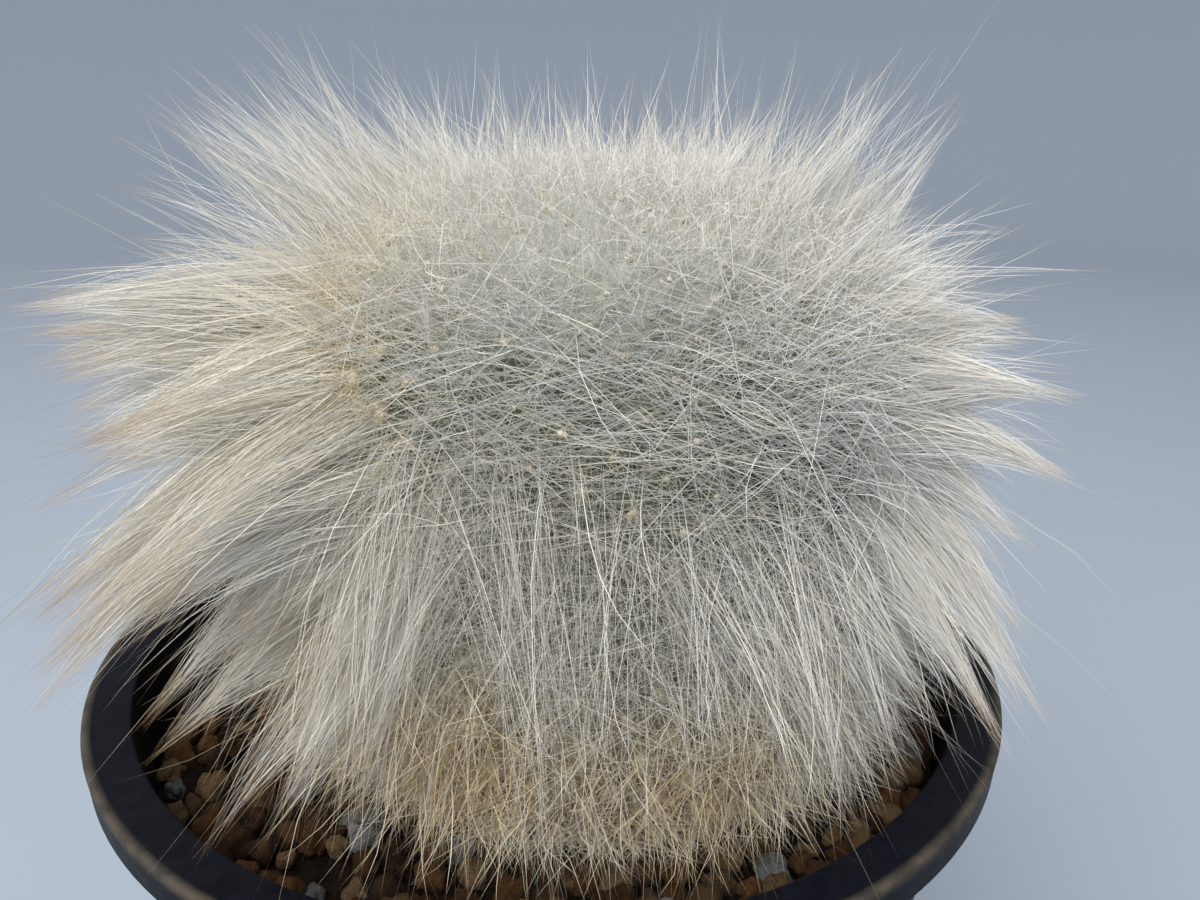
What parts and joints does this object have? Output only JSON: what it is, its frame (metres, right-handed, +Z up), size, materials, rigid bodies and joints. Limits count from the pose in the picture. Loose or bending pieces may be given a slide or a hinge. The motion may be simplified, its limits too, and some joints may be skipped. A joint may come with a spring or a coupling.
{
  "type": "potted cactus",
  "caption": "Short round old lady cactus covered in long white hair, standing in gritty soil in a round black plastic pot with a flat rim.",
  "frame": {"origin": "middle of the flat pad under the pot, on the surface that the pot stands on", "axes": "+Z up, -Y towards the front that the picture shows, +X to the picture's right"},
  "size_m": [0.1364, 0.1356, 0.1566],
  "materials": {
    "pot_plastic": "black moulded plastic, satin, with a worn edge",
    "grit": "dry porous grains, orange-brown with some tan and white",
    "cactus_hair": "long fine white hair, cream wool and straw-coloured tips over a dark green stem"
  },
  "bodies": {
    "root": {"pot": "pot_plastic", "soil": "grit", "cactus": "cactus_hair"}
  },
  "joints": []
}
